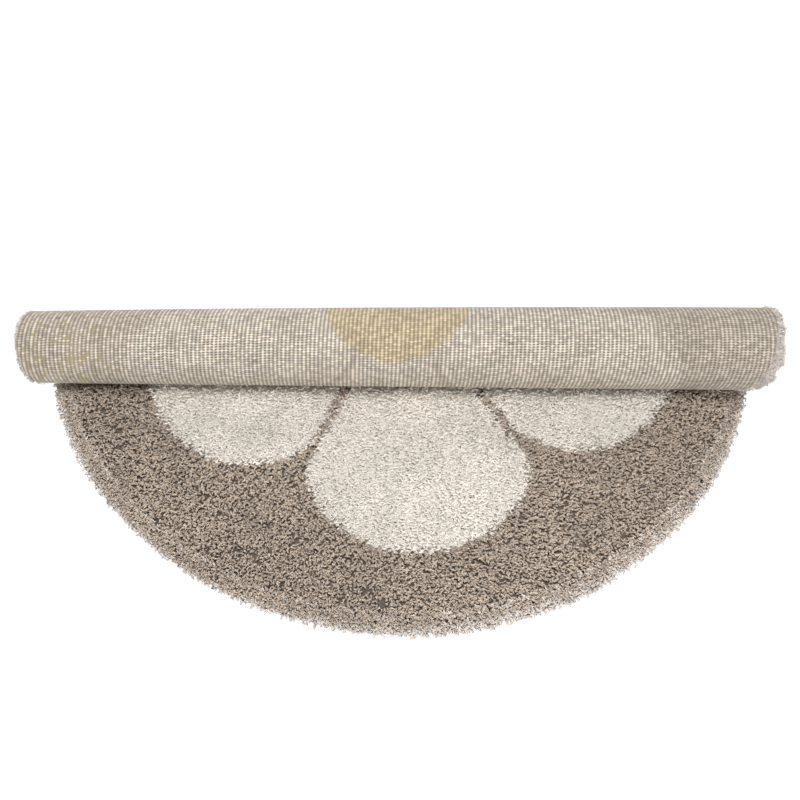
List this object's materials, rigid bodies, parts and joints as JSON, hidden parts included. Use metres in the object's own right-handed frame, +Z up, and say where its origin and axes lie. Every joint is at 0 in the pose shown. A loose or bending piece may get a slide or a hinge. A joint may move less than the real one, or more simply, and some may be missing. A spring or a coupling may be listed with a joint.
{
  "type": "round rug",
  "caption": "Round shag rug with a flower in its pile, half rolled up: the front lies flat, the back is rolled forward with the woven backing outside.",
  "frame": {"origin": "on the floor, under the middle of the half-rolled rug's outline", "axes": "+X along the roll to the right, +Y from the flat front towards the roll, +Z up"},
  "size_m": [1.2206, 0.5164, 0.1439],
  "materials": {
    "pile": "matte shag pile in taupe with cream petals and a mustard centre",
    "petals": "matte cream shag pile",
    "centre": "matte mustard shag pile",
    "backing": "ribbed flat weave"
  },
  "bodies": {
    "root": {"rug": "pile"}
  },
  "joints": []
}
